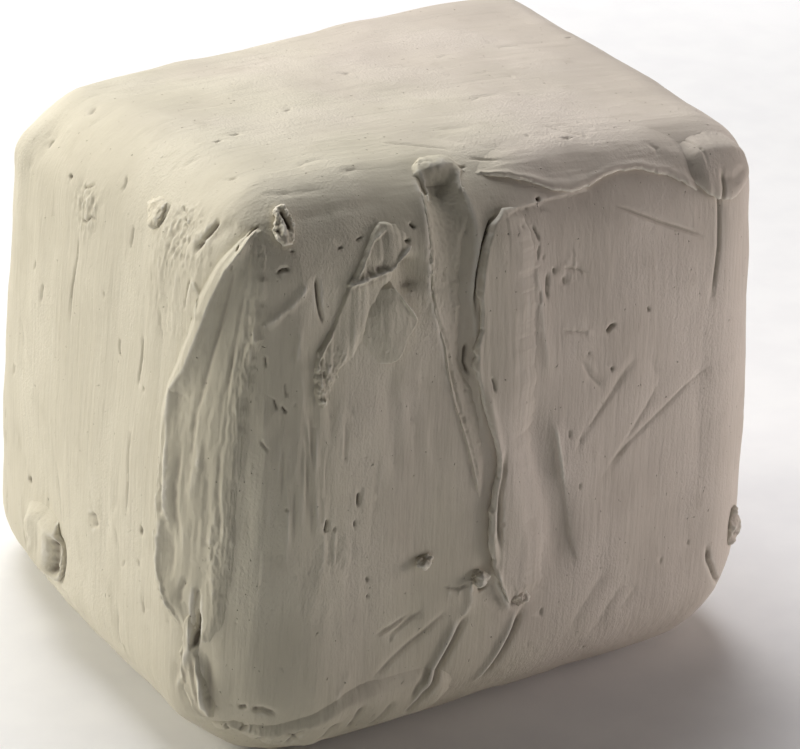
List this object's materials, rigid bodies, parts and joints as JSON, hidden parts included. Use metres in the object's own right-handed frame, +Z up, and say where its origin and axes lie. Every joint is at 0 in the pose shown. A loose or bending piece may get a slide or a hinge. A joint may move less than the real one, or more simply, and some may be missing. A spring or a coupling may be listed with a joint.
{
  "type": "block of modelling clay",
  "caption": "Hand-worked block of pale grey-cream modelling clay with rounded edges, smeared faces, pressed-on flakes and a drag groove.",
  "frame": {"origin": "on the flat base, at the middle of the bounding box", "axes": "+Z up from the base; the wide, smeared front face looks along -Y and the narrow, streaked left face along -X"},
  "size_m": [0.2282, 0.1992, 0.2022],
  "materials": {
    "clay_body": "matte, damp, finely streaked",
    "clay_smear": "matte, dragged, slightly darker and damper",
    "clay_crumb": "matte, dry and crumbly"
  },
  "bodies": {
    "root": {"core_block": "clay_body", "corner_smear": "clay_smear", "toe_wedge": "clay_body", "torn_nub": "clay_crumb", "upper_flake": "clay_smear", "lower_flake": "clay_smear", "thumb_ribbon": "clay_smear", "right_slab": "clay_smear", "top_skin": "clay_body", "corner_roll": "clay_body", "right_nub": "clay_body", "base_hem": "clay_body", "heel_pad": "clay_body", "left_pellet": "clay_crumb", "crumb_1": "clay_crumb", "crumb_2": "clay_crumb", "crumb_3": "clay_crumb"}
  },
  "joints": []
}
